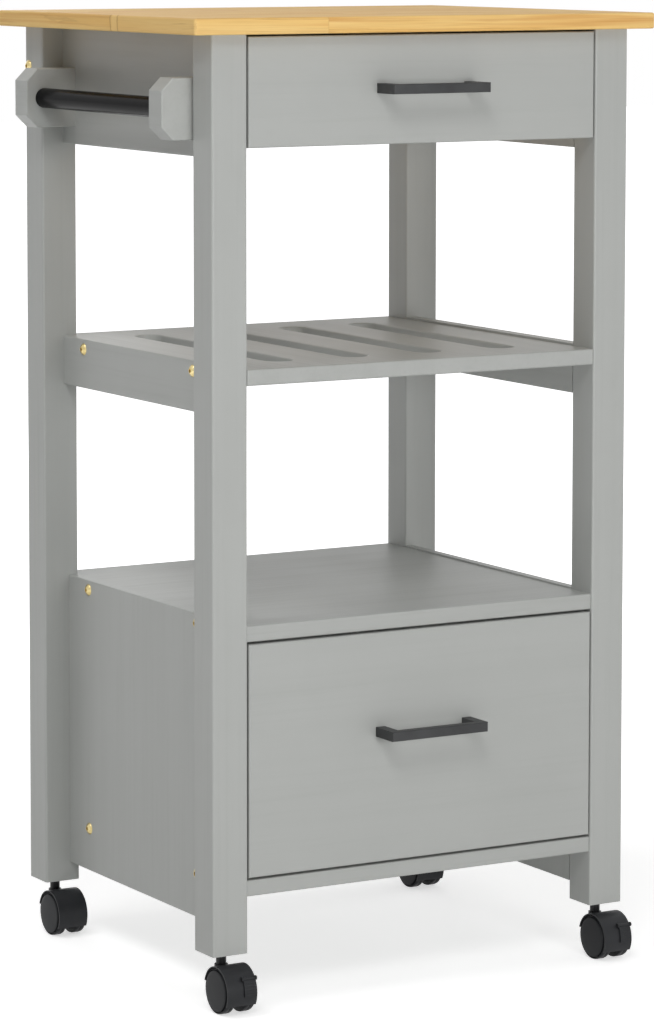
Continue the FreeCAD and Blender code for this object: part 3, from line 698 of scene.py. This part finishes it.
wheel_nylon = black_coating("wheel_nylon", tint(30, 31, 33), tint(43, 44, 47),
                            0.34, 0.44, 0.000012, 0.12)
WHEEL_STEPS = 72
WHEEL_PROFILE = (   # (radius, distance from the stem's axis) in millimetres, from the hub round
    (0, 14.3), (2.55, 14.3), (2.55, 5.85), (6.0, 5.85), (6.0, 11.85), (17.0, 11.85), (17.0, 5.85),
    (20.0, 5.85), (20.7, 6.1), (21.0, 6.9), (21.0, 9.8), (20.85, 10.0), (21.0, 10.2), (21.0, 12.6),
    (20.9, 13.8), (20.6, 14.7), (20.2, 15.0), (19.9, 14.8), (19.8, 13.4), (18.9, 13.4), (18.8, 15.0),
    (18.6, 15.4), (18.0, 15.6), (16.0, 15.7), (11.0, 15.85), (5.0, 15.95), (0, 16.0),
)
for joint in frame["joints"]:
    if not joint["name"].startswith("roll_"):
        continue
    node = joint["child"]
    wheel_low, wheel_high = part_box(node)
    stem_x = middle("caster_hood_" + joint["parent"].removeprefix("caster_")).x
    way = 1 if (wheel_low.x + wheel_high.x) / 2 > stem_x else -1
    rings = [(radius * MM, reach * MM, 0) for radius, reach in WHEEL_PROFILE]
    wheel = turned(rings, WHEEL_STEPS, node + "_moulding", wheel_nylon)
    wheel.data.transform(Matrix.Rotation(way * math.pi / 2, 4, "Y"))
    wheel.data.transform(Matrix.Translation((stem_x, joint["pos_m"][1], joint["pos_m"][2])))
    for polygon in wheel.data.polygons:
        polygon.use_smooth = True
    wheel.data.set_sharp_from_angle(angle=math.radians(38))
    bpy.context.scene.collection.objects.link(wheel)
    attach(wheel, node)
    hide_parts(node)


# ---------------------------------------------------------------- Brake pads
# The two front casters have a pad, hinged in their hoods, that a toe presses down on to the
# wheel. Moulded ribs across it give the toe a grip.

finish_nodes(hood_nylon, "brake_lever_front_left", "brake_lever_front_right")

RIB_COUNT = 4
RIB_SWEEP = math.radians(22)
RIB_RADIUS = 0.00045
RIB_LENGTH = 0.0088
PAD_RADIUS = 0.0244
ribbed = Shape("Ribs on a round pad", Count="Int", Radius="Float", Thickness="Float", Length="Float",
               Start="Float", Sweep="Float")
pad_line = {"Radius": ribbed.given["Radius"], "Start Angle": ribbed.given["Start"],
            "Sweep Angle": ribbed.given["Sweep"]}
arc = ribbed.add("GeometryNodeCurveArc", pad_line).outputs[0]
rib_points = ribbed.add("GeometryNodeCurveToPoints",
                        {"Curve": arc, "Count": ribbed.given["Count"]}).outputs[0]
rib = ribbed.add("GeometryNodeMeshCylinder", {"Vertices": 12, "Radius": ribbed.given["Thickness"],
                                              "Depth": ribbed.given["Length"]}).outputs[0]
ribs = ribbed.add("GeometryNodeInstanceOnPoints", {"Points": rib_points, "Instance": rib}).outputs[0]
ribbed.ends_in(ribs, hood_nylon)

for side in ("left", "right"):
    pad = "brake_lever_front_" + side
    axle_at = middle("caster_axle_front_" + side)
    grip = ribbed.run(pad + "_ribs", Count=RIB_COUNT, Radius=PAD_RADIUS, Thickness=RIB_RADIUS,
                      Length=RIB_LENGTH, Start=0.0, Sweep=RIB_SWEEP)
    on_to_pad = Matrix(((0, 0, -1, middle(pad).x), (-1, 0, 0, axle_at.y), (0, 1, 0, axle_at.z),
                        (0, 0, 0, 1)))
    grip.data.transform(on_to_pad)
    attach(grip, "brake_front_" + side)


# ---------------------------------------------------------------- Floor and light
# A plain pale floor, an even pale sky, and five soft lamps: one high at the front left, one low
# in front, and weaker ones at both sides and behind. Away from the cart the floor is as pale as the sky.

FLOOR_SIZE = 30.0
SKY_LIGHT = 0.26
LAMPS = (   # name, degrees leftward, degrees upward, distance, width, watts
    ("front_left_lamp", 34.0, 40.0, 4.0, 1.2, 30.0),
    ("front_lamp", 2.0, 5.0, 3.0, 0.7, 25.0),
    ("left_lamp", 84.0, 58.0, 3.5, 1.2, 21.0),
    ("back_lamp", 190.0, 10.0, 4.0, 1.8, 17.0),
    ("right_lamp", 265.0, 10.0, 4.0, 1.8, 18.0),
)
AIM = Vector((0.0, 0.0, 0.50))
FLOOR_LIFT = 0.56
FLOOR_NEAR = 0.5
FLOOR_FAR = 1.5

floor_mesh = bpy.data.meshes.new("floor")
half = FLOOR_SIZE / 2
floor_corners = [(-half, -half, 0), (half, -half, 0), (half, half, 0), (-half, half, 0)]
floor_mesh.from_pydata(floor_corners, [], [(0, 1, 2, 3)])
floor = bpy.data.objects.new("floor", floor_mesh)
bpy.context.scene.collection.objects.link(floor)
pale = Finish("pale_floor")
seen = pale.add("ShaderNodeLightPath").outputs
direct = pale.maths("MAXIMUM", seen["Is Camera Ray"],
                    pale.maths("MAXIMUM", seen["Is Glossy Ray"], seen["Is Transmission Ray"]))
out_from_cart = pale.add("ShaderNodeVectorMath", {0: pale.place},
                         operation="LENGTH").outputs["Value"]
lift = pale.span(out_from_cart, FLOOR_NEAR, FLOOR_FAR, FLOOR_LIFT, 1.0)
pale.wire(Base_Color=tint(240, 240, 240), Roughness=0.9, Emission_Color=(1.0, 1.0, 1.0, 1.0),
          Emission_Strength=pale.maths("MULTIPLY", direct, lift))
floor_mesh.materials.append(pale.material)

world = bpy.data.worlds.new("studio")
bpy.context.scene.world = world
world.use_nodes = True
sky = Recipe(world.node_tree)
for node in list(world.node_tree.nodes):
    world.node_tree.nodes.remove(node)
seen = sky.add("ShaderNodeLightPath").outputs
direct = seen["Is Camera Ray"]
for ray in ("Is Glossy Ray", "Is Transmission Ray"):
    direct = sky.add("ShaderNodeMath", {0: direct, 1: seen[ray]}, operation="MAXIMUM").outputs[0]
strength = sky.add("ShaderNodeMapRange", {0: direct, 3: SKY_LIGHT, 4: 1.0}).outputs[0]
background = sky.add("ShaderNodeBackground",
                     {"Color": (1.0, 1.0, 1.0, 1.0), "Strength": strength}).outputs[0]
sky.add("ShaderNodeOutputWorld", {"Surface": background})

for name, leftward, upward, distance, size, power in LAMPS:
    lamp = bpy.data.lights.new(name, "AREA")
    lamp.energy = power
    lamp.size = size
    around, rise = math.radians(leftward), math.radians(upward)
    away = Vector((-math.sin(around) * math.cos(rise), -math.cos(around) * math.cos(rise),
                   math.sin(rise)))
    stand = bpy.data.objects.new(name, lamp)
    stand.location = AIM + away * distance
    stand.rotation_euler = away.to_track_quat("Z", "Y").to_euler()
    bpy.context.scene.collection.objects.link(stand)

bpy.context.scene.view_settings.view_transform = "Standard"


# ---------------------------------------------------------------- Camera
# It stands at the front left, a little above the worktop's height, and looks slightly down.

SENSOR = 36.0
LENS = 145.96
SHIFT = (0.0381, -0.1885)
CAMERA_PLACE = (-1.9757, -3.4139, 0.9850)
CAMERA_TILT = 84.53
CAMERA_TURN = -29.56

camera_data = bpy.data.cameras.new("camera")
camera_data.sensor_width = SENSOR
camera_data.lens = LENS
camera_data.shift_x, camera_data.shift_y = SHIFT
camera_data.clip_end = 100.0
camera = bpy.data.objects.new("camera", camera_data)
camera.location = CAMERA_PLACE
camera.rotation_euler = (math.radians(CAMERA_TILT), 0.0, math.radians(CAMERA_TURN))
bpy.context.scene.collection.objects.link(camera)
bpy.context.scene.camera = camera
